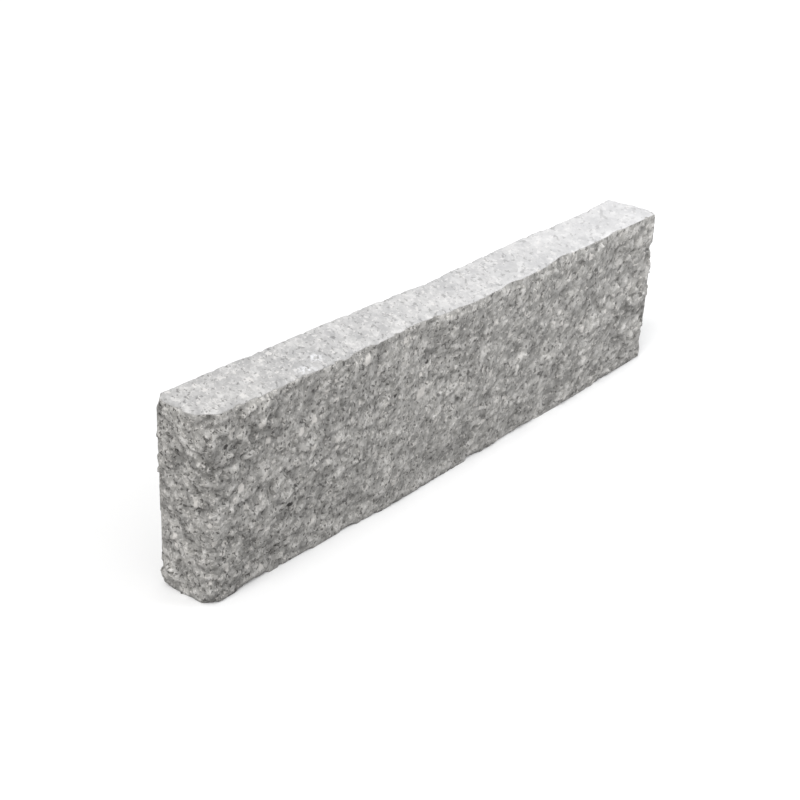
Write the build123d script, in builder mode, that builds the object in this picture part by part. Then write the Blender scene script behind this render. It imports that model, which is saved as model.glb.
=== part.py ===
"""Granite kerb stone: one solid block, split on four sides, with a dressed top and a level bed.

Frame: origin at the middle of the bed, +X along the stone from its near end to its far end,
-Y towards its front face, +Z up.
"""

import os
from math import cos, radians, sin
from random import Random

from build123d import *

# Driving dimensions, in millimetres
LENGTH = 1000.0  # between the two split ends
WIDTH = 85.0  # between the split front and back
HEIGHT = 250.0  # from the bed to the dressed top

# Each split face is a smooth sheet through a grid of points
RUN_PITCH = 50.0  # between grid points along the front and back
END_PITCH = 21.0  # between grid points across the ends
RISE_PITCH = 50.0  # between grid points from the bed to the top
STRAY = 2.8  # most that chance moves a grid point in or out
TRUE_BAND = 40.0  # strip along each arris in which the split runs truer

# How far each split face stands out from its plane: along its bed arris, its belly and its top arris.
# The front and back read from the near end to the far end, the ends from front to back.
BELLY_RISE = 0.36  # share of the height at which the belly lies
STAND_OUT = {
    "front": {
        "bed": (-4.0, -5.0, 1.0, 6.0, 4.0, 2.5, 4.0, 3.5, 1.0),
        "belly": (-3.0, 2.0, 7.0, 9.5, 10.0, 9.0, 9.0, 8.0, 1.5),
        "top": (-3.0, -1.0, 4.0, 0.0, 9.0, 8.0, 2.5, 2.0, 1.0),
    },
    "back": {
        "bed": (2.0, -1.0, 3.0, -2.0, 1.0, -3.0, 2.0, 0.0, -2.0),
        "belly": (3.0, 3.0, 5.0, 3.0, 1.0, 0.0, 3.0, 2.0, 0.0),
        "top": (5.0, 4.0, 1.5, -0.5, -6.5, -1.0, 0.5, -2.5, 4.0),
    },
    "near": {
        "bed": (-4.0, 0.0, 2.0, 0.0, -3.0),
        "belly": (-4.0, -2.5, -3.0, -2.0, -3.0),
        "top": (-5.0, 3.0, 6.0, 4.0, -2.5),
    },
    "far": {
        "bed": (0.0, 2.0, 3.0, 1.0, -2.0),
        "belly": (-1.0, 3.0, 5.0, 3.0, 0.0),
        "top": (-3.0, 4.0, 6.0, 4.0, 4.0),
    },
}

# Chips off the arrises of the bed and the top: place as a share of the run, length, depth
LEVEL_CHIPS = {
    ("front", "top"): (
        (0.07, 34.0, 2.0),
        (0.262, 62.0, 5.0),
        (0.375, 44.0, 2.5),
        (0.58, 56.0, 5.0),
        (0.72, 74.0, 6.0),
        (0.875, 60.0, 4.0),
    ),
    ("front", "bed"): (
        (0.075, 64.0, 4.0),
        (0.245, 36.0, 4.0),
        (0.52, 42.0, 4.0),
        (0.645, 42.0, 3.5),
        (0.875, 46.0, 3.0),
    ),
    ("back", "top"): (
        (0.21, 40.0, 1.2),
        (0.34, 46.0, 1.5),
        (0.64, 36.0, 1.8),
        (0.82, 50.0, 2.0),
    ),
    ("back", "bed"): ((0.13, 50.0, 4.0), (0.41, 60.0, 3.5), (0.77, 54.0, 4.5)),
    ("near", "top"): ((0.62, 32.0, 3.0),),
    ("near", "bed"): ((0.4, 30.0, 2.5),),
    ("far", "top"): ((0.3, 30.0, 1.5),),
    ("far", "bed"): ((0.6, 34.0, 3.0),),
}

# Chips off the upright arrises: place as a share of the height, length, depth
UPRIGHT_CHIPS = {
    ("near", "front"): ((0.0, 42.0, 8.5), (0.3, 66.0, 4.0), (0.62, 60.0, 3.5), (0.9, 56.0, 4.5)),
    ("near", "back"): ((0.0, 40.0, 7.0), (0.97, 24.0, 5.0)),
    ("far", "front"): ((0.24, 46.0, 3.0), (0.75, 30.0, 5.0), (1.0, 22.0, 3.0)),
    ("far", "back"): ((0.0, 36.0, 5.0), (0.35, 50.0, 3.5), (0.7, 44.0, 3.0)),
}
CHIP_LEAN = 24.0  # degrees that a scoop leans towards the bed or the top

OUTWARD = {
    "front": Vector(0, -1, 0),
    "back": Vector(0, 1, 0),
    "near": Vector(-1, 0, 0),
    "far": Vector(1, 0, 0),
}
FACES_RUN = {"front": LENGTH, "back": LENGTH, "near": WIDTH, "far": WIDTH}
FACES_APART = {"front": WIDTH, "back": WIDTH, "near": LENGTH, "far": LENGTH}
RUN_DIRECTION = {
    "front": Vector(1, 0, 0),
    "back": Vector(1, 0, 0),
    "near": Vector(0, 1, 0),
    "far": Vector(0, 1, 0),
}


def between(values, share):
    """The value at a share of the way along an evenly spaced list."""
    place = share * (len(values) - 1)
    first = min(int(place), len(values) - 2)
    part = place - first
    return values[first] * (1 - part) + values[first + 1] * part


def reach(side, along, rise):
    """How far out a split face lies at a share along it and a share of the height."""
    bed, belly, top = (between(STAND_OUT[side][row], along) for row in ("bed", "belly", "top"))
    if rise < BELLY_RISE:
        stand_out = between((bed, belly), rise / BELLY_RISE)
    else:
        stand_out = between((belly, top), (rise - BELLY_RISE) / (1 - BELLY_RISE))
    return FACES_APART[side] / 2 + stand_out


def grid_row(side, pitch, level, levels):
    """The reach of one face's grid points at one level, each moved by chance, less so near an arris."""
    run = FACES_RUN[side]
    spans = max(2, round(run / pitch))
    row = []
    for i in range(spans + 1):
        from_upright = run * min(i, spans - i) / spans
        from_level = HEIGHT * min(level, levels - level) / levels
        freedom = min(1, from_upright / TRUE_BAND, from_level / TRUE_BAND)
        stray = STRAY * freedom * Random(f"{side} {i} {level}").uniform(-1, 1)
        row.append(reach(side, i / spans, level / levels) + stray)
    return row


def spread(first, last, count):
    """Evenly spaced values from the first to the last."""
    return [between((first, last), i / (count - 1)) for i in range(count)]


def outline(level, levels):
    """The four rows of points round the stone at one level, each from corner to corner."""
    front = [-y for y in grid_row("front", RUN_PITCH, level, levels)]
    back = grid_row("back", RUN_PITCH, level, levels)
    near = [-x for x in grid_row("near", END_PITCH, level, levels)]
    far = grid_row("far", END_PITCH, level, levels)
    front_row = list(zip(spread(near[0], far[0], len(front)), front))
    far_row = list(zip(far, spread(front[-1], back[-1], len(far))))
    back_row = list(zip(spread(near[-1], far[-1], len(back)), back))
    near_row = list(zip(near, spread(front[0], back[0], len(near))))
    return front_row, far_row, back_row[::-1], near_row[::-1]


def scoop(arris, outward, lean, along, length, depth):
    """Take a ball-shaped chip of one length and depth out of the stone at a point on an arris."""
    radius = (length**2 / 4 + depth**2) / (2 * depth)
    away = outward.normalized() * cos(radians(lean)) + Vector(0, 0, sin(radians(lean)))
    with Locations(Plane(arris + away * (radius - depth), x_dir=away, z_dir=along)):
        Sphere(radius, mode=Mode.SUBTRACT)


with BuildPart() as kerb_stone:
    # The split block: plan outlines from the bed to the top, with smooth sheets between them
    levels = max(2, round(HEIGHT / RISE_PITCH))
    for level in range(levels + 1):
        with BuildSketch(Plane.XY.offset(HEIGHT * level / levels)):
            with BuildLine():
                for row in outline(level, levels):
                    Spline(*row)
            make_face()
    loft()

    # Chips along the arrises of the bed and the top
    for (side, edge), chips in LEVEL_CHIPS.items():
        rise, lean = {"bed": (0, -CHIP_LEAN), "top": (1, CHIP_LEAN)}[edge]
        run = RUN_DIRECTION[side]
        for share, length, depth in chips:
            arris = OUTWARD[side] * reach(side, share, rise) + Vector(0, 0, HEIGHT * rise)
            arris += run * (FACES_RUN[side] * (share - 0.5))
            scoop(arris, OUTWARD[side], lean, run, length, depth)

    # Chips along the upright arrises between an end and a long face
    for (end, long_face), chips in UPRIGHT_CHIPS.items():
        along_end = {"front": 0, "back": 1}[long_face]
        along_face = {"near": 0, "far": 1}[end]
        for share, length, depth in chips:
            arris = OUTWARD[end] * reach(end, along_end, share) + Vector(0, 0, HEIGHT * share)
            arris += OUTWARD[long_face] * reach(long_face, along_face, share)
            lean = between((-CHIP_LEAN, CHIP_LEAN), share)
            scoop(arris, OUTWARD[end] + OUTWARD[long_face], lean, Vector(0, 0, 1), length, depth)

kerb_stone.part.label = "kerb_stone"
os.makedirs("parts", exist_ok=True)
export_step(kerb_stone.part, "parts/kerb_stone.step")
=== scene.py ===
from math import cos, radians, sin

import bmesh
import bpy
from bpy.props import FloatProperty, FloatVectorProperty, IntProperty, PointerProperty
from mathutils import Matrix, Vector
from mathutils.bvhtree import BVHTree


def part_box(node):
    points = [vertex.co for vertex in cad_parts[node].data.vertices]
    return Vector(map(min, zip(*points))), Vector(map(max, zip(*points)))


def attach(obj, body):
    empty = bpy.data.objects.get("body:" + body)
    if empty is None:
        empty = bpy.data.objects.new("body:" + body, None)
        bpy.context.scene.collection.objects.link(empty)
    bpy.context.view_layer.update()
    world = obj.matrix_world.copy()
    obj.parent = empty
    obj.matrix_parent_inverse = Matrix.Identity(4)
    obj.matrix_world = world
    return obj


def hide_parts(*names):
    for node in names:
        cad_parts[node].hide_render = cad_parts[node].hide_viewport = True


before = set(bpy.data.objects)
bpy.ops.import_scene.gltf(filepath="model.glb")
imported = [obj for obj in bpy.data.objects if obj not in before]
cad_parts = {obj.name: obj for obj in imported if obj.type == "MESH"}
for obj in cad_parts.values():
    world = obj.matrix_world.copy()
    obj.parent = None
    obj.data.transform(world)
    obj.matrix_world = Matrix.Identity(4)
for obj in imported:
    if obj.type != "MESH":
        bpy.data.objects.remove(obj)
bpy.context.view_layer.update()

bl_info = {
    "name": "Granite Kerb Stone",
    "version": (1, 0, 0),
    "blender": (4, 5, 0),
    "location": "3D View > Sidebar > Kerb Stone",
    "description": "Splits and dresses a granite kerb stone and sets it on a pale studio floor",
    "category": "Object",
}

NODE = "kerb_stone"
STONE_LOW, STONE_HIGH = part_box(NODE)
MM = 0.001

# Socket numbers of the Mix node when it mixes colours, numbers or vectors
MIX_A, MIX_B, MIX_OUT = 6, 7, 2
NUMBER_A, NUMBER_B = 2, 3
VECTOR_A, VECTOR_B, VECTOR_OUT = 4, 5, 1

# Across the bedding, and along the lie of the long crystals
BEDDING = Vector((-0.33, -0.66, 1.0)).normalized()
LINEATION = Vector((1.0, 1.0, 0.75)).normalized()
# Along the stone, from its near end to its far end
RUN = Vector((1.0, 0.0, 0.0))
# The dressing tool worked slantwise over the top
STROKES = Vector((1.0, 1.0, 0.0)).normalized()

# Crystals of this stone that stand out, by place on the front or the near end: across, up and radius in
# millimetres. The black marks on the near end are not crystals but painted shade in the shadowed notch under
# its back top corner
PALE_CRYSTALS = {
    "front": (
        (-119, 151, 7.5),
        (-117, 178, 3.6),
        (-232, 234, 5.0),
        (-305, 216, 4.0),
        (-326, 186, 4.0),
        (-348, 179, 4.0),
        (-331, 151, 4.0),
        (-450, 142, 4.5),
        (-404, 185, 4.0),
    ),
    "near": ((18, 76, 3.0), (17, 69, 3.0), (18, 62, 2.5)),
}
BLACK_CRYSTALS_AND_PAINTED_SHADE = {
    "front": ((-472, 203, 3.2), (-367, 86, 3.6), (-103, 189, 3.2), (-174, 166, 2.8)),
    # painted shade: dark patches in the shadowed notch just under the near end's back top corner
    "near": ((38, 240, 3.2), (40, 227, 2.4)),
}
# Scars of the dressing tool on the top: along, across and radius in millimetres
TOP_SCARS = ((-296, -16, 16.0), (-330, -34, 17.0))

# The dressed top: how far it faces up where dressing begins and where it is full, and its depth
DRESSED_FROM, DRESSED_FULL = 0.8, 0.97
DRESSED_BAND = 1.2 * MM
# Depths below the highest point at which the top's bruising ends and at which it is full
BRUISE_ENDS, BRUISE_FULL = 2.4 * MM, 1.6 * MM
# Steps of blurring on the relief's mesh: of the dressed top, of its rim, and of the normals at an arris
TOP_BLUR, RIM_BLUR, ARRIS_BLUR = 1, 3, 12
# Length of a blurred normal, on an arris and on a plain face
ARRIS_NORMAL, PLAIN_NORMAL = 0.84, 0.98
# Strength of the split relief, as two places along the stone and the value at each: from the middle to
# the near end, and how many times that from the middle to the far end
SPLIT_STRENGTHS = ((-250 * MM, -480 * MM, 0.65, 1.4), (250 * MM, 450 * MM, 1.0, 1.77))
# Height above the bed up to which its arris is chipped
BED_BAND = 10 * MM
# How many times their own height the tool marks are sunk below the top
TOOL_MARK_SINK = 0.8
# Fewest faces that a finished stone can have, and the distance within which two points are one
FEWEST_FACES = 1000
MERGE = 0.01 * MM
# Patterns: how far a facet's outline strays in cells, the finer waves' share of a swell, the soft edge of
# a speck, and that of a spot as a share of its radius
FACET_STRAY, SWELL_ROUGHNESS, SPECK_EDGE, SPOT_EDGE = 0.5, 0.55, 0.1, 0.3
# Detail of the swells: of the split, and of all finer patterns
SPLIT_DETAIL, FINE_DETAIL = 4.0, 2.0

# Shares at the near end and at the far end: mica seen on the sides and on the top, and grit
MICA_ON_SIDES = (0.8, 0.58)
MICA_ON_TOP = (0.5, 0.18)
GRIT_SHARES = (0.44, 0.28)
GRIT_HEIGHT = 0.8 * MM
# How far each kind of crystal, and the painted shade on the near end, covers what lies under it
LONG_FELDSPAR_COVER, LATH_COVER, PALE_COVER, BLACK_AND_PAINTED_SHADE_COVER = 0.7, 0.6, 0.85, 1.0
# Bruising that a scar adds
SCAR_BRUISE = 0.6
# Share of the cells that hold a long feldspar, and the radius of the largest in cells
LONG_FELDSPARS = (0.4, 0.34)
# Seed and rarity of the pale laths, the mica flakes and the crushed bits in a scar
LATHS, MICA_FLAKES, CRUSHED_BITS = (5.0, 0.36), (9.0, 0.34), (3.0, -0.05)
# How far the tone swings with knots, clouds and painted relief shade (darker in pits, lighter where the
# relief stands proud), and what counts as the whole range of the last two
KNOT_SWING, CLOUD_SWING, PAINTED_RELIEF_SHADE_SWING = 0.22, 0.36, 0.26
CLOUD_RANGE, PAINTED_RELIEF_SHADE_RANGE = 0.8, 3 * MM
# How many times longer than wide a chosen mica flake is, and how much a chosen crystal is drawn inwards
FLAKE_LENGTH, DRAWN_INWARDS = 1.6, 0.7
# Share of its radius within which a chosen spot is full
CORE, SCAR_CORE = 0.7, 0.2
# How often and how far the outlines of the crystals stray, in grains
STRAYS_A_GRAIN, GRAIN_STRAY = 0.8, 0.35

# The studio floor: half its side, and its gap below the stone, in metres
FLOOR_HALF, FLOOR_GAP = 30.0, 0.2 * MM
SENSOR_WIDTH = 36.0  # millimetres


def linear(code):
    """An sRGB hex colour as linear red, green and blue."""
    shares = [int(code[i : i + 2], 16) / 255 for i in (1, 3, 5)]
    return [s / 12.92 if s <= 0.04045 else ((s + 0.055) / 1.055) ** 2.4 for s in shares]


def node(tree, kind, inputs=None, **settings):
    """Add a node with its settings; an input given a socket is linked, any other is set."""
    made = tree.nodes.new(kind)
    for name, value in settings.items():
        setattr(made, name, value)
    for key, value in (inputs or {}).items():
        if isinstance(value, bpy.types.NodeSocket):
            tree.links.new(value, made.inputs[key])
        else:
            made.inputs[key].default_value = value
    return made


class KerbReliefSizes(bpy.types.PropertyGroup):
    """Sizes of the split and dressed relief"""

    mesh_pitch: FloatProperty(
        name="Mesh pitch", description="Spacing of the mesh that carries the relief",
        default=2.85 * MM, unit="LENGTH", subtype="DISTANCE", precision=5,
    )
    wave_size: FloatProperty(
        name="Wave size", description="Width of the swells left by splitting",
        default=46 * MM, unit="LENGTH", subtype="DISTANCE",
    )
    wave_height: FloatProperty(
        name="Wave height", description="Height of the swells left by splitting",
        default=2.6 * MM, unit="LENGTH", subtype="DISTANCE", precision=5,
    )
    flake_size: FloatProperty(
        name="Flake size", description="Width of the broken facets on a split face",
        default=20 * MM, unit="LENGTH", subtype="DISTANCE",
    )
    flake_height: FloatProperty(
        name="Flake height", description="Rise of a broken facet from edge to edge",
        default=4.0 * MM, unit="LENGTH", subtype="DISTANCE", precision=5,
    )
    crystal_size: FloatProperty(
        name="Crystal size", description="Width of the single crystals that stand out of a split face",
        default=6.0 * MM, unit="LENGTH", subtype="DISTANCE", precision=5,
    )
    crystal_height: FloatProperty(
        name="Crystal height", description="Rise of a crystal's face from edge to edge",
        default=0.8 * MM, unit="LENGTH", subtype="DISTANCE", precision=5,
    )
    stand_out: FloatProperty(
        name="Stand-out", description="How far the middle of the relief stands out of the plain block",
        default=0.4 * MM, unit="LENGTH", subtype="DISTANCE", precision=5,
    )
    tool_mark_size: FloatProperty(
        name="Tool mark size", description="Spacing of the dressing tool's marks on the top",
        default=7.0 * MM, unit="LENGTH", subtype="DISTANCE", precision=5,
    )
    tool_mark_height: FloatProperty(
        name="Tool mark height", description="Height of the dressing tool's marks on the top",
        default=0.6 * MM, unit="LENGTH", subtype="DISTANCE", precision=5,
    )
    arris_chip_size: FloatProperty(
        name="Arris chip size",
        description="Length of the small chips along the arrises of the top and the bed",
        default=12.0 * MM, unit="LENGTH", subtype="DISTANCE", precision=5,
    )
    arris_chip_depth: FloatProperty(
        name="Arris chip depth",
        description="Depth of the small chips along the arrises of the top and the bed",
        default=3.25 * MM, unit="LENGTH", subtype="DISTANCE", precision=5,
    )
    squeeze: FloatProperty(
        name="Bedding squeeze", description="How much flatter than long the grain lies", default=1.45,
    )
    seed: IntProperty(name="Seed", description="Picks one stone out of many", default=4)


class KerbGraniteColours(bpy.types.PropertyGroup):
    """Mineral colours and grain sizes of the granite"""

    quartz: FloatVectorProperty(
        name="Quartz", description="Glassy grey quartz",
        default=linear("#979591"), subtype="COLOR", size=3, min=0, max=1,
    )
    plagioclase: FloatVectorProperty(
        name="Plagioclase", description="Pale grey feldspar, most of the stone",
        default=linear("#BDBBB8"), subtype="COLOR", size=3, min=0, max=1,
    )
    feldspar: FloatVectorProperty(
        name="Potash feldspar", description="Cream feldspar with a breath of pink",
        default=linear("#E6E2DD"), subtype="COLOR", size=3, min=0, max=1,
    )
    mica: FloatVectorProperty(
        name="Black mica", description="Near-black mica flakes",
        default=linear("#403E3C"), subtype="COLOR", size=3, min=0, max=1,
    )
    bruise: FloatVectorProperty(
        name="Bruised crystal", description="Crystal crushed pale by the dressing tool",
        default=linear("#E8E8EA"), subtype="COLOR", size=3, min=0, max=1,
    )
    grain: FloatProperty(
        name="Grain", description="Width of a common crystal",
        default=4.0 * MM, unit="LENGTH", subtype="DISTANCE", precision=5,
    )
    coarsening: FloatProperty(
        name="Coarsening",
        description="How much finer than the middle the near end is, and coarser the far end",
        default=0.26, subtype="FACTOR", min=0, max=0.5,
    )
    knot: FloatProperty(
        name="Knot", description="Width of a knot of like crystals",
        default=12.0 * MM, unit="LENGTH", subtype="DISTANCE", precision=5,
    )
    mica_spacing: FloatProperty(
        name="Mica spacing", description="Distance between mica flakes",
        default=6.0 * MM, unit="LENGTH", subtype="DISTANCE", precision=5,
    )
    lath_spacing: FloatProperty(
        name="Lath spacing", description="Distance between the small pale feldspars",
        default=6.0 * MM, unit="LENGTH", subtype="DISTANCE", precision=5,
    )
    feldspar_spacing: FloatProperty(
        name="Feldspar spacing", description="Distance between the long feldspar crystals",
        default=13 * MM, unit="LENGTH", subtype="DISTANCE",
    )
    cloud: FloatProperty(
        name="Cloud size", description="Width of the paler and darker patches",
        default=26 * MM, unit="LENGTH", subtype="DISTANCE",
    )
    drawn_out: FloatProperty(
        name="Crystal length", description="How many times longer than wide the feldspar crystals are",
        default=2.0,
    )
    drag: FloatProperty(
        name="Drag", description="How many times longer than wide the dressing tool left the top's grain",
        default=2.2,
    )
    near_bruise: FloatProperty(
        name="Near bruise", description="Share of crushed crystal on the top at the near end",
        default=0.32, subtype="FACTOR", min=0, max=1,
    )
    far_bruise: FloatProperty(
        name="Far bruise", description="Share of crushed crystal on the top at the far end",
        default=0.65, subtype="FACTOR", min=0, max=1,
    )


class KerbStageSettings(bpy.types.PropertyGroup):
    """Camera, floor and light"""

    azimuth: FloatProperty(
        name="Azimuth", description="Camera direction round the stone",
        default=radians(-53.30), subtype="ANGLE", unit="ROTATION",
    )
    elevation: FloatProperty(
        name="Elevation", description="Camera height above the horizon",
        default=radians(25.89), subtype="ANGLE", unit="ROTATION",
    )
    roll: FloatProperty(
        name="Roll", description="Lean of the camera about its line of sight",
        default=radians(2.93), subtype="ANGLE", unit="ROTATION",
    )
    distance: FloatProperty(
        name="Distance", description="Camera distance from its target",
        default=1.993, unit="LENGTH", subtype="DISTANCE",
    )
    target: FloatVectorProperty(
        name="Target", description="Point that the camera looks at",
        default=(-0.097, 0.0, 0.116), subtype="XYZ", unit="LENGTH", size=3,
    )
    lens: FloatProperty(
        name="Lens", description="Focal length on a 36 mm sensor", default=66.46, unit="CAMERA",
    )
    floor_colour: FloatVectorProperty(
        name="Floor", description="White studio floor, as it is seen",
        default=linear("#FFFFFF"), subtype="COLOR", size=3, min=0, max=1,
    )
    floor_bounce: FloatVectorProperty(
        name="Floor bounce", description="How much light the floor throws back at the stone",
        default=linear("#808080"), subtype="COLOR", size=3, min=0, max=1,
    )
    sky: FloatProperty(name="Sky", description="Strength of the soft light from all round", default=0.68)
    key: FloatProperty(
        name="Key", description="Strength of the soft overhead light on the near end", default=1.68,
    )
    key_spread: FloatProperty(
        name="Key spread", description="How wide the overhead light is, seen from the stone",
        default=radians(35), subtype="ANGLE", unit="ROTATION",
    )
    key_from: FloatVectorProperty(
        name="Key from", description="Direction that the overhead light comes from",
        default=(-0.9, -0.2, 1.0), subtype="XYZ", size=3,
    )
    softbox: FloatProperty(
        name="Softbox", description="Power of the softbox in front of the far end",
        default=9.8, unit="POWER",
    )
    softbox_colour: FloatVectorProperty(
        name="Softbox colour", description="Cool white of the softbox",
        default=linear("#FAFCFF"), subtype="COLOR", size=3, min=0, max=1,
    )
    softbox_width: FloatProperty(
        name="Softbox width", description="Side of the square softbox",
        default=1.2, unit="LENGTH", subtype="DISTANCE",
    )
    softbox_place: FloatVectorProperty(
        name="Softbox place", description="Where the softbox hangs",
        default=(0.8, -1.3, 1.0), subtype="XYZ", unit="LENGTH", size=3,
    )
    softbox_aim: FloatVectorProperty(
        name="Softbox aim", description="Point that the softbox faces",
        default=(0.1, 0.0, 0.15), subtype="XYZ", unit="LENGTH", size=3,
    )


def drawn_along(tree, place, axis, factor):
    """Positions scaled along one axis, so that patterns come out shorter or longer that way."""
    depth = node(tree, "ShaderNodeVectorMath", {0: place, 1: axis * (factor - 1)}, operation="DOT_PRODUCT")
    push = node(tree, "ShaderNodeVectorMath", {0: axis, "Scale": depth.outputs["Value"]}, operation="SCALE")
    return node(tree, "ShaderNodeVectorMath", {0: place, 1: push.outputs[0]}).outputs[0]


def facets(tree, place, size):
    """Tilted flats, one for each cell, as crystals and flakes break. Each rises about 1 over its cell."""
    cells = node(tree, "ShaderNodeVectorMath", {0: place, 1: size}, operation="DIVIDE").outputs[0]
    shake = node(
        tree, "ShaderNodeTexNoise", {"Vector": cells, "Scale": 1.0, "Detail": 1.0}, normalize=False,
    )
    ragged = node(
        tree, "ShaderNodeVectorMath", {0: shake.outputs["Color"], 1: (FACET_STRAY,) * 3, 2: cells},
        operation="MULTIPLY_ADD",
    ).outputs[0]
    cell = node(tree, "ShaderNodeTexVoronoi", {"Vector": ragged, "Scale": 1.0})
    run = node(tree, "ShaderNodeVectorMath", {0: ragged, 1: cell.outputs["Position"]}, operation="SUBTRACT")
    lean = node(
        tree, "ShaderNodeVectorMath", {0: cell.outputs["Color"], 1: (2,) * 3, 2: (-1,) * 3},
        operation="MULTIPLY_ADD",
    )
    return node(
        tree, "ShaderNodeVectorMath", {0: run.outputs[0], 1: lean.outputs[0]}, operation="DOT_PRODUCT",
    ).outputs["Value"]


def swells(tree, place, size, seed, detail):
    """Rolling noise about zero, with waves of one size and finer ones on them."""
    cells = node(tree, "ShaderNodeVectorMath", {0: place, 1: size}, operation="DIVIDE").outputs[0]
    return node(
        tree, "ShaderNodeTexNoise",
        {"Vector": cells, "W": seed, "Scale": 1.0, "Detail": detail, "Roughness": SWELL_ROUGHNESS},
        noise_dimensions="4D", normalize=False,
    ).outputs[0]


def relief_tree(sizes, material):
    """Geometry nodes that roughen a smooth block: split relief on its sides, tool marks on its top."""
    tree = bpy.data.node_groups.new("Split and dressed relief", "GeometryNodeTree")
    sockets = tree.interface
    sockets.new_socket("Geometry", in_out="INPUT", socket_type="NodeSocketGeometry")
    values = {}
    for name, kind, value in (
        ("Wave size", "Float", sizes.wave_size),
        ("Wave height", "Float", sizes.wave_height),
        ("Flake size", "Float", sizes.flake_size),
        ("Flake height", "Float", sizes.flake_height),
        ("Crystal size", "Float", sizes.crystal_size),
        ("Crystal height", "Float", sizes.crystal_height),
        ("Stand-out", "Float", sizes.stand_out),
        ("Tool mark size", "Float", sizes.tool_mark_size),
        ("Tool mark height", "Float", sizes.tool_mark_height),
        ("Arris chip size", "Float", sizes.arris_chip_size),
        ("Arris chip depth", "Float", sizes.arris_chip_depth),
        ("Seed", "Float", float(sizes.seed)),
        ("Low corner", "Vector", tuple(STONE_LOW)),
        ("High corner", "Vector", tuple(STONE_HIGH)),
        ("Granite", "Material", material),
    ):
        made = sockets.new_socket(name, in_out="INPUT", socket_type=f"NodeSocket{kind}")
        values[made.identifier] = value
    sockets.new_socket("Geometry", in_out="OUTPUT", socket_type="NodeSocketGeometry")

    given = node(tree, "NodeGroupInput").outputs
    seed = given["Seed"]
    place = node(tree, "GeometryNodeInputPosition").outputs[0]
    normal = node(tree, "GeometryNodeInputNormal").outputs[0]
    grainwise = drawn_along(tree, place, BEDDING, sizes.squeeze)

    # The top counts as dressed where it faces up and lies level with the top of the stone
    upward = node(tree, "ShaderNodeSeparateXYZ", {0: normal}).outputs["Z"]
    upward = node(
        tree, "ShaderNodeMapRange", {"Value": upward, "From Min": DRESSED_FROM, "From Max": DRESSED_FULL},
    ).outputs[0]
    below = node(
        tree, "ShaderNodeVectorMath", {0: given["High corner"], 1: place}, operation="SUBTRACT",
    ).outputs[0]
    below = node(tree, "ShaderNodeSeparateXYZ", {0: below}).outputs["Z"]
    level = node(tree, "ShaderNodeMath", {0: below, 1: DRESSED_BAND}, operation="LESS_THAN").outputs[0]
    dressed = node(tree, "ShaderNodeMath", {0: upward, 1: level}, operation="MULTIPLY").outputs[0]
    dressed = node(tree, "GeometryNodeBlurAttribute", {"Value": dressed, "Iterations": TOP_BLUR}).outputs[0]

    # Splitting follows the arrises, so the relief is calmer there: normals that are blurred together shrink
    blurred = node(
        tree, "GeometryNodeBlurAttribute", {"Value": normal, "Iterations": ARRIS_BLUR},
        data_type="FLOAT_VECTOR",
    ).outputs[0]
    shrunk = node(tree, "ShaderNodeVectorMath", {0: blurred}, operation="LENGTH").outputs["Value"]
    straight = node(
        tree, "ShaderNodeMapRange", {"Value": shrunk, "From Min": ARRIS_NORMAL, "From Max": PLAIN_NORMAL},
    ).outputs[0]

    # The middle of the stone split cleaner than its ends, and the near end is the roughest
    along = node(tree, "ShaderNodeSeparateXYZ", {0: place}).outputs["X"]
    calm = straight
    for start, end, least, most in SPLIT_STRENGTHS:
        strength = node(
            tree, "ShaderNodeMapRange",
            {"Value": along, "From Min": start, "From Max": end, "To Min": least, "To Max": most},
        ).outputs[0]
        calm = node(tree, "ShaderNodeMath", {0: calm, 1: strength}, operation="MULTIPLY").outputs[0]

    # Split relief: swells, broken facets on them, and crystals on those
    picked = node(tree, "ShaderNodeVectorMath", {0: grainwise, 1: seed}).outputs[0]
    rough = 0.0
    for rise, height in (
        (swells(tree, grainwise, given["Wave size"], seed, SPLIT_DETAIL), "Wave height"),
        (facets(tree, picked, given["Flake size"]), "Flake height"),
        (facets(tree, picked, given["Crystal size"]), "Crystal height"),
    ):
        rough = node(
            tree, "ShaderNodeMath", {0: rise, 1: given[height], 2: rough}, operation="MULTIPLY_ADD",
        ).outputs[0]
    split = node(tree, "ShaderNodeMath", {0: rough, 1: given["Stand-out"]}).outputs[0]
    split = node(tree, "ShaderNodeMath", {0: split, 1: calm}, operation="MULTIPLY").outputs[0]

    # Tool marks, sunk below the level of the top
    tooled = swells(tree, place, given["Tool mark size"], seed, FINE_DETAIL)
    tooled = node(tree, "ShaderNodeMath", {0: tooled, 1: TOOL_MARK_SINK}, operation="SUBTRACT").outputs[0]
    tooled = node(
        tree, "ShaderNodeMath", {0: tooled, 1: given["Tool mark height"]}, operation="MULTIPLY",
    ).outputs[0]
    relief = node(
        tree, "ShaderNodeMix", {0: dressed, NUMBER_A: split, NUMBER_B: tooled}, data_type="FLOAT",
    ).outputs[0]

    # Small chips off two arrises: where the dressed top gives way to a split face, and along the bed
    edge = node(tree, "GeometryNodeBlurAttribute", {"Value": dressed, "Iterations": RIM_BLUR}).outputs[0]
    rim = node(tree, "ShaderNodeMath", {0: 1.0, 1: edge}, operation="SUBTRACT").outputs[0]
    rim = node(tree, "ShaderNodeMath", {0: rim, 1: edge}, operation="MULTIPLY").outputs[0]
    above = node(
        tree, "ShaderNodeVectorMath", {0: place, 1: given["Low corner"]}, operation="SUBTRACT",
    ).outputs[0]
    above = node(tree, "ShaderNodeSeparateXYZ", {0: above}).outputs["Z"]
    low = node(tree, "ShaderNodeMapRange", {"Value": above, "From Min": BED_BAND, "From Max": 0.0}).outputs[0]
    blunt = node(tree, "ShaderNodeMath", {0: 1.0, 1: straight}, operation="SUBTRACT").outputs[0]
    low = node(tree, "ShaderNodeMath", {0: low, 1: blunt}, operation="MULTIPLY").outputs[0]
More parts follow.
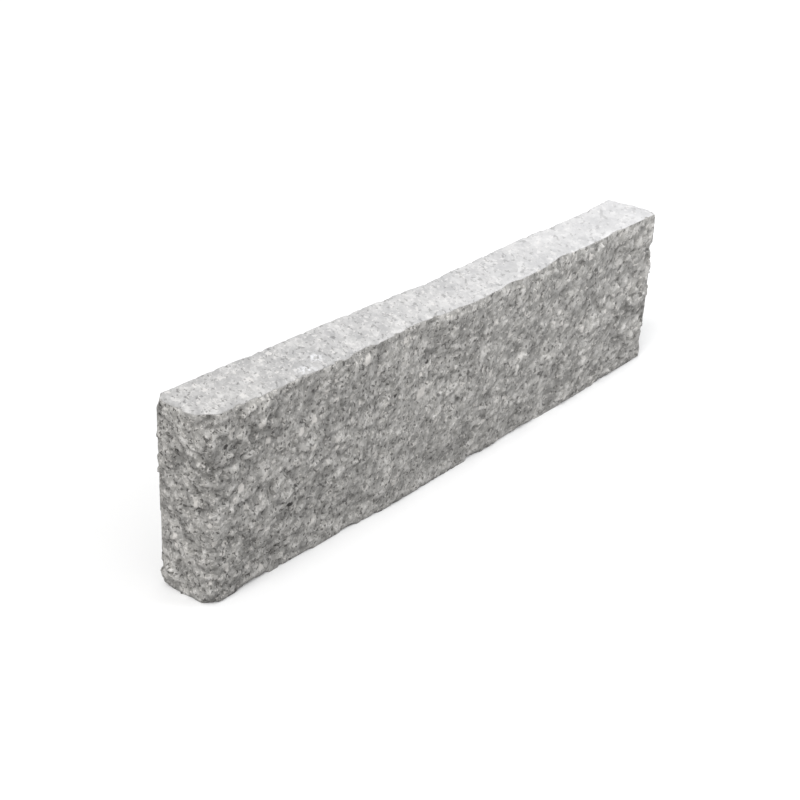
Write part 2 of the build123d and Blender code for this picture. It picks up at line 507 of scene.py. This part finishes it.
    # On the top's rim the product is a quarter at most, so four times it makes a full chip
    rim = node(tree, "ShaderNodeMath", {0: rim, 1: 4.0, 2: low}, operation="MULTIPLY_ADD").outputs[0]
    bite = swells(tree, place, given["Arris chip size"], seed, FINE_DETAIL)
    bite = node(tree, "ShaderNodeMath", {0: bite, 1: 0.0}, operation="MAXIMUM").outputs[0]
    for factor in (rim, given["Arris chip depth"]):
        bite = node(tree, "ShaderNodeMath", {0: bite, 1: factor}, operation="MULTIPLY").outputs[0]
    relief = node(tree, "ShaderNodeMath", {0: relief, 1: bite}, operation="SUBTRACT").outputs[0]

    # The relief is kept with the mesh, so that shade can be painted into the granite: darker in its pits,
    # lighter where it stands proud
    noted = node(
        tree, "GeometryNodeStoreNamedAttribute",
        {"Geometry": given["Geometry"], "Name": "proud", "Value": relief},
        domain="POINT", data_type="FLOAT",
    )
    proud = node(tree, "GeometryNodeInputNamedAttribute", {"Name": "proud"}, data_type="FLOAT").outputs[0]
    push = node(tree, "ShaderNodeVectorMath", {0: normal, "Scale": proud}, operation="SCALE")
    pushed = node(tree, "GeometryNodeSetPosition", {"Geometry": noted.outputs[0], "Offset": push.outputs[0]})

    # Nothing stands outside the block's own box
    inside = node(tree, "ShaderNodeVectorMath", {0: place, 1: given["Low corner"]}, operation="MAXIMUM")
    inside = node(
        tree, "ShaderNodeVectorMath", {0: inside.outputs[0], 1: given["High corner"]}, operation="MINIMUM",
    )
    held = node(
        tree, "GeometryNodeSetPosition", {"Geometry": pushed.outputs[0], "Position": inside.outputs[0]},
    )
    smooth = node(tree, "GeometryNodeSetShadeSmooth", {"Geometry": held.outputs[0], "Shade Smooth": True})
    solid = node(tree, "GeometryNodeRealizeInstances", {"Geometry": smooth.outputs[0]})
    clad = node(
        tree, "GeometryNodeSetMaterial", {"Geometry": solid.outputs[0], "Material": given["Granite"]},
    )
    node(tree, "NodeGroupOutput", {0: clad.outputs[0]})
    return tree, values


def scattered(tree, place, spacing, share, reach):
    """A mask of spots in a share of scattered cells, the largest with a radius of reach spacings."""
    cells = node(
        tree, "ShaderNodeTexVoronoi", {"Vector": place, "Scale": 1 / spacing}, distance="CHEBYCHEV",
    )
    chance = node(tree, "ShaderNodeSeparateColor", {0: cells.outputs["Color"]}).outputs["Green"]
    radius = node(
        tree, "ShaderNodeMapRange", {"Value": chance, "From Min": 1 - share, "To Max": reach},
    ).outputs[0]
    within = node(
        tree, "ShaderNodeMath", {0: radius, 1: cells.outputs["Distance"]}, operation="SUBTRACT",
    ).outputs[0]
    return node(tree, "ShaderNodeMapRange", {"Value": within, "From Max": SPOT_EDGE * reach}).outputs[0]


def specks(tree, place, size, seed, rarity):
    """A mask of ragged specks of all sizes, fewer as the rarity rises."""
    rolling = swells(tree, place, (size,) * 3, seed, FINE_DETAIL)
    return node(
        tree, "ShaderNodeMapRange",
        {"Value": rolling, "From Min": rarity, "From Max": rarity + SPECK_EDGE},
    ).outputs[0]


def chosen(tree, place, centre, radius, core=CORE):
    """A mask of one spot about a chosen point, full as far as its core and fading to its radius."""
    away = node(tree, "ShaderNodeVectorMath", {0: place, 1: centre}, operation="DISTANCE").outputs["Value"]
    return node(
        tree, "ShaderNodeMapRange", {"Value": away, "From Min": radius, "From Max": core * radius},
    ).outputs[0]


def crystal(tree, place, centre, radius):
    """A mask of one crystal about a chosen point, with straight sides."""
    away = node(tree, "ShaderNodeVectorMath", {0: place, 1: centre}, operation="SUBTRACT").outputs[0]
    away = node(tree, "ShaderNodeVectorMath", {0: away}, operation="ABSOLUTE").outputs[0]
    away = node(tree, "ShaderNodeSeparateXYZ", {0: away}).outputs
    widest = away["X"]
    for axis in ("Y", "Z"):
        widest = node(tree, "ShaderNodeMath", {0: widest, 1: away[axis]}, operation="MAXIMUM").outputs[0]
    return node(
        tree, "ShaderNodeMapRange", {"Value": widest, "From Min": radius, "From Max": CORE * radius},
    ).outputs[0]


def laid_over(tree, colour, mask, strength, tint):
    """A colour covered by a tint where a mask is 1, as far as its strength goes."""
    cover = node(tree, "ShaderNodeMath", {0: mask, 1: strength}, operation="MULTIPLY", use_clamp=True)
    return node(
        tree, "ShaderNodeMix", {0: cover.outputs[0], MIX_A: colour, MIX_B: (*tint, 1)}, data_type="RGBA",
    ).outputs[MIX_OUT]


def from_end_to_end(tree, along, near, far):
    """A value that changes evenly from the near end of the stone to the far end."""
    return node(
        tree, "ShaderNodeMapRange",
        {"Value": along, "From Min": STONE_LOW.x, "From Max": STONE_HIGH.x, "To Min": near, "To Max": far},
    ).outputs[0]


def granite_material(colours, squeeze, surface):
    """Grey granite, split by wedges and dressed on top."""
    material = bpy.data.materials.new("Grey granite, split and dressed")
    material.use_nodes = True
    tree = material.node_tree
    tree.nodes.clear()
    place = node(tree, "ShaderNodeTexCoord").outputs["Object"]

    # To the eye the split faces are matt and full of crystals: pale feldspar, glassy quartz, black mica.
    # Crystals of 1 to 3 mm are drawn a little coarser than they are, because finer ones don't show.
    shake = node(
        tree, "ShaderNodeTexNoise", {"Vector": place, "Scale": STRAYS_A_GRAIN / colours.grain, "Detail": 1.0},
        normalize=False,
    )
    ragged = node(
        tree, "ShaderNodeVectorMath",
        {0: shake.outputs["Color"], 1: (GRAIN_STRAY * colours.grain,) * 3, 2: place},
        operation="MULTIPLY_ADD",
    ).outputs[0]
    part = node(tree, "ShaderNodeSeparateXYZ", {0: place}).outputs
    top = node(
        tree, "ShaderNodeMapRange",
        {"Value": part["Z"], "From Min": STONE_HIGH.z - BRUISE_ENDS, "From Max": STONE_HIGH.z - BRUISE_FULL},
    ).outputs[0]
    finer = from_end_to_end(tree, part["X"], 1 + colours.coarsening, 1 - colours.coarsening)
    loose = node(tree, "ShaderNodeVectorMath", {0: ragged, "Scale": finer}, operation="SCALE").outputs[0]
    dragged = drawn_along(tree, loose, STROKES, 1 / colours.drag)
    loose = node(
        tree, "ShaderNodeMix", {0: top, VECTOR_A: loose, VECTOR_B: dragged}, data_type="VECTOR",
    ).outputs[VECTOR_OUT]
    grainwise = drawn_along(tree, loose, BEDDING, squeeze)
    lengthwise = drawn_along(tree, ragged, LINEATION, 1 / colours.drawn_out)

    # Groundmass: fine quartz and plagioclase, each crystal a little different
    fine = node(tree, "ShaderNodeTexVoronoi", {"Vector": loose, "Scale": 1 / colours.grain})
    pick = node(tree, "ShaderNodeSeparateColor", {0: fine.outputs["Color"]}).outputs["Red"]
    colour = node(
        tree, "ShaderNodeMix",
        {0: pick, MIX_A: (*colours.plagioclase, 1), MIX_B: (*colours.quartz, 1)}, data_type="RGBA",
    ).outputs[MIX_OUT]

    # Tone: knots of like crystals, broad clouds, and painted shade, darker in the pits and lighter on the
    # swells
    knot = node(tree, "ShaderNodeTexVoronoi", {"Vector": grainwise, "Scale": 1 / colours.knot})
    knot = node(tree, "ShaderNodeSeparateColor", {0: knot.outputs["Color"]}).outputs["Red"]
    cloud = node(
        tree, "ShaderNodeTexNoise",
        {"Vector": grainwise, "Scale": 1 / colours.cloud, "Detail": 3.0, "Roughness": 0.6}, normalize=False,
    ).outputs[0]
    proud = node(tree, "ShaderNodeAttribute", attribute_name="proud").outputs["Fac"]
    for shade, low, high, swing in (
        (knot, 0, 1, KNOT_SWING),
        (cloud, -CLOUD_RANGE, CLOUD_RANGE, CLOUD_SWING),
        # painted shade and highlight: the relief's height darkens the pits and lightens what stands proud
        (proud, -PAINTED_RELIEF_SHADE_RANGE, PAINTED_RELIEF_SHADE_RANGE, PAINTED_RELIEF_SHADE_SWING),
    ):
        tone = node(
            tree, "ShaderNodeMapRange",
            {"Value": shade, "From Min": low, "From Max": high, "To Min": 1 - swing, "To Max": 1 + swing},
        ).outputs[0]
        colour = node(
            tree, "ShaderNodeMix", {0: 1.0, MIX_A: colour, MIX_B: tone},
            data_type="RGBA", blend_type="MULTIPLY",
        ).outputs[MIX_OUT]

    # Long cream feldspars and small pale laths, scattered
    feldspars = scattered(tree, lengthwise, colours.feldspar_spacing, *LONG_FELDSPARS)
    colour = laid_over(tree, colour, feldspars, LONG_FELDSPAR_COVER, colours.feldspar)
    laths = specks(tree, grainwise, colours.lath_spacing, *LATHS)
    colour = laid_over(tree, colour, laths, LATH_COVER, colours.feldspar)

    # The dressing tool leaves the top bruised pale, more so towards the far end and in its scars
    bruise = from_end_to_end(tree, part["X"], colours.near_bruise, colours.far_bruise)
    crushed = specks(tree, grainwise, colours.lath_spacing, *CRUSHED_BITS)
    for along, across, radius in TOP_SCARS:
        centre = Vector((along * MM, across * MM, STONE_HIGH.z))
        scar = chosen(tree, ragged, centre, radius * MM, SCAR_CORE)
        scar = node(tree, "ShaderNodeMath", {0: scar, 1: crushed}, operation="MULTIPLY").outputs[0]
        bruise = node(
            tree, "ShaderNodeMath", {0: scar, 1: SCAR_BRUISE, 2: bruise}, operation="MULTIPLY_ADD",
        ).outputs[0]
    colour = laid_over(tree, colour, top, bruise, colours.bruise)

    # Black mica flakes, half hidden by the bruising on the top
    hidden = from_end_to_end(tree, part["X"], *MICA_ON_TOP)
    plain = from_end_to_end(tree, part["X"], *MICA_ON_SIDES)
    strength = node(
        tree, "ShaderNodeMix", {0: top, NUMBER_A: plain, NUMBER_B: hidden}, data_type="FLOAT",
    ).outputs[0]
    mica = specks(tree, loose, colours.mica_spacing, *MICA_FLAKES)
    colour = laid_over(tree, colour, mica, strength, colours.mica)

    # The crystals that stand out: straight-sided feldspars and round mica flakes, with the painted shade on
    # the near end drawn like a mica flake, all of which run on into the stone, so that the relief never hides
    # them
    for marks, tint, strength, shape, axis, length in (
        (PALE_CRYSTALS, colours.feldspar, PALE_COVER, crystal, LINEATION, colours.drawn_out),
        (BLACK_CRYSTALS_AND_PAINTED_SHADE, colours.mica, BLACK_AND_PAINTED_SHADE_COVER, chosen, RUN, FLAKE_LENGTH),
    ):
        lie = drawn_along(tree, ragged, axis, 1 / length)
        for side, places in marks.items():
            inward = {"front": Vector((0, 1, 0)), "near": RUN}[side]
            slim = Vector((1, 1, 1)) - DRAWN_INWARDS * inward
            deep = node(tree, "ShaderNodeVectorMath", {0: lie, 1: slim}, operation="MULTIPLY").outputs[0]
            for across, up, radius in places:
                before = {
                    "front": Vector((across * MM, 2 * STONE_LOW.y, up * MM)),
                    "near": Vector((2 * STONE_LOW.x, across * MM, up * MM)),
                }[side]
                centre = surface.ray_cast(before, inward)[0]
                centre += axis * centre.dot(axis) * (1 / length - 1)
                mask = shape(tree, deep, centre * slim, radius * MM)
                colour = laid_over(tree, colour, mask, strength, tint)

    # Fine roughness of broken crystal, too fine for the mesh
    grit = facets(tree, loose, (colours.grain,) * 3)
    keen = from_end_to_end(tree, part["X"], *GRIT_SHARES)
    bump = node(tree, "ShaderNodeBump", {"Height": grit, "Distance": GRIT_HEIGHT, "Strength": keen})
    shader = node(
        tree, "ShaderNodeBsdfPrincipled",
        {"Base Color": colour, "Roughness": 0.82, "Normal": bump.outputs[0]},
    )
    node(tree, "ShaderNodeOutputMaterial", {"Surface": shader.outputs[0]})
    return material


class KERB_OT_split_stone(bpy.types.Operator):
    """Make the split and dressed stone over the plain CAD block"""

    bl_idname = "kerb.split_stone"
    bl_label = "Split and dress the stone"

    def execute(self, context):
        sizes = context.scene.kerb_relief
        block = bmesh.new()
        block.from_mesh(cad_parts[NODE].data)
        bmesh.ops.remove_doubles(block, verts=block.verts, dist=MERGE)
        shape = bpy.data.meshes.new("split_stone")
        block.to_mesh(shape)
        surface = BVHTree.FromBMesh(block)
        block.free()
        rough = bpy.data.objects.new("rough_block", shape)
        context.scene.collection.objects.link(rough)
        voxels = rough.modifiers.new("Even mesh", "REMESH")
        voxels.mode = "VOXEL"
        voxels.voxel_size = sizes.mesh_pitch
        material = granite_material(context.scene.kerb_granite, sizes.squeeze, surface)
        tree, values = relief_tree(sizes, material)
        relief = rough.modifiers.new("Relief", "NODES")
        relief.node_group = tree
        for key, value in values.items():
            relief[key] = value
        seen = rough.evaluated_get(context.evaluated_depsgraph_get())
        finished = bpy.data.meshes.new_from_object(seen)
        rough.modifiers.clear()
        bpy.data.objects.remove(rough)
        if len(finished.polygons) < FEWEST_FACES:
            raise RuntimeError("the stone's relief could not be made")
        stone = bpy.data.objects.new("split_granite_kerb", finished)
        context.scene.collection.objects.link(stone)
        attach(stone, "root")
        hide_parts(NODE)
        return {"FINISHED"}


def seen_directly(tree):
    """1 on rays that show a surface to the camera, straight or in gloss or glass, and else 0."""
    path = node(tree, "ShaderNodeLightPath").outputs
    seen = path["Is Camera Ray"]
    for ray in ("Is Glossy Ray", "Is Transmission Ray"):
        seen = node(tree, "ShaderNodeMath", {0: seen, 1: path[ray]}, operation="MAXIMUM").outputs[0]
    return seen


class KERB_OT_studio(bpy.types.Operator):
    """Lay the white floor, hang the lights and place the camera"""

    bl_idname = "kerb.studio"
    bl_label = "Set the studio"

    def execute(self, context):
        stage = context.scene.kerb_stage
        scene = context.scene

        # A broad matt floor. To the eye it is white; the light it throws back is held down
        sheet = bpy.data.meshes.new("floor")
        square = ((-1, -1), (1, -1), (1, 1), (-1, 1))
        corners = [(x * FLOOR_HALF, y * FLOOR_HALF, STONE_LOW.z - FLOOR_GAP) for x, y in square]
        sheet.from_pydata(corners, [], [(0, 1, 2, 3)])
        floor = bpy.data.objects.new("floor", sheet)
        scene.collection.objects.link(floor)
        paint = bpy.data.materials.new("Matt studio floor")
        paint.use_nodes = True
        tree = paint.node_tree
        tree.nodes.clear()
        shade = node(
            tree, "ShaderNodeMix",
            {0: seen_directly(tree), MIX_A: (*stage.floor_bounce, 1), MIX_B: (*stage.floor_colour, 1)},
            data_type="RGBA",
        )
        matt = node(tree, "ShaderNodeBsdfDiffuse", {"Color": shade.outputs[MIX_OUT]})
        node(tree, "ShaderNodeOutputMaterial", {"Surface": matt.outputs[0]})
        sheet.materials.append(paint)

        # Even sky for light, plain white where the camera sees past the floor
        world = bpy.data.worlds.new("Studio")
        world.use_nodes = True
        tree = world.node_tree
        tree.nodes.clear()
        white = (1, 1, 1, 1)
        soft = node(tree, "ShaderNodeBackground", {"Color": white, "Strength": stage.sky})
        plain = node(tree, "ShaderNodeBackground", {"Color": white, "Strength": 1.0})
        mix = node(
            tree, "ShaderNodeMixShader", {0: seen_directly(tree), 1: soft.outputs[0], 2: plain.outputs[0]},
        )
        node(tree, "ShaderNodeOutputWorld", {"Surface": mix.outputs[0]})
        scene.world = world

        # Soft key from above the near end, and a softbox out in front of the far end
        lamp = bpy.data.lights.new("Overhead key", "SUN")
        lamp.energy = stage.key
        lamp.angle = stage.key_spread
        key = bpy.data.objects.new("Overhead key", lamp)
        key.rotation_euler = Vector(stage.key_from).to_track_quat("Z", "Y").to_euler()
        scene.collection.objects.link(key)
        lamp = bpy.data.lights.new("Softbox", "AREA")
        lamp.energy = stage.softbox
        lamp.color = stage.softbox_colour
        lamp.size = stage.softbox_width
        box = bpy.data.objects.new("Softbox", lamp)
        box.location = stage.softbox_place
        away = box.location - Vector(stage.softbox_aim)
        box.rotation_euler = away.to_track_quat("Z", "Y").to_euler()
        scene.collection.objects.link(box)

        lens = bpy.data.cameras.new("Camera")
        lens.lens = stage.lens
        lens.sensor_width = SENSOR_WIDTH
        camera = bpy.data.objects.new("Camera", lens)
        a, e = stage.azimuth, stage.elevation
        back = Vector((sin(a) * cos(e), -cos(a) * cos(e), sin(e)))
        right = Vector((0, 0, 1)).cross(back).normalized()
        turn = Matrix((right, back.cross(right), back)).transposed() @ Matrix.Rotation(stage.roll, 3, "Z")
        eye = Vector(stage.target) + back * stage.distance
        camera.matrix_world = Matrix.Translation(eye) @ turn.to_4x4()
        scene.collection.objects.link(camera)
        scene.camera = camera
        scene.view_settings.view_transform = "Standard"
        return {"FINISHED"}


class KERB_PT_panel(bpy.types.Panel):
    """Kerb stone tools"""

    bl_idname = "KERB_PT_panel"
    bl_label = "Kerb Stone"
    bl_space_type = "VIEW_3D"
    bl_region_type = "UI"
    bl_category = "Kerb Stone"

    def draw(self, context):
        for title, group in GROUPS.items():
            box = self.layout.box()
            box.label(text=group.__doc__)
            settings = getattr(context.scene, title)
            for name in group.__annotations__:
                box.prop(settings, name)
        for operator in (KERB_OT_split_stone, KERB_OT_studio):
            self.layout.operator(operator.bl_idname)


GROUPS = {
    "kerb_relief": KerbReliefSizes,
    "kerb_granite": KerbGraniteColours,
    "kerb_stage": KerbStageSettings,
}
CLASSES = (*GROUPS.values(), KERB_OT_split_stone, KERB_OT_studio, KERB_PT_panel)


def register():
    """Add the settings, operators and panel to Blender."""
    for part in CLASSES:
        bpy.utils.register_class(part)
    for title, group in GROUPS.items():
        setattr(bpy.types.Scene, title, PointerProperty(type=group))


def unregister():
    """Take them out again."""
    for title in GROUPS:
        delattr(bpy.types.Scene, title)
    for part in reversed(CLASSES):
        bpy.utils.unregister_class(part)


def main():
    """Make the stone and its studio."""
    register()
    bpy.ops.kerb.split_stone()
    bpy.ops.kerb.studio()


if __name__ == "__main__":
    main()
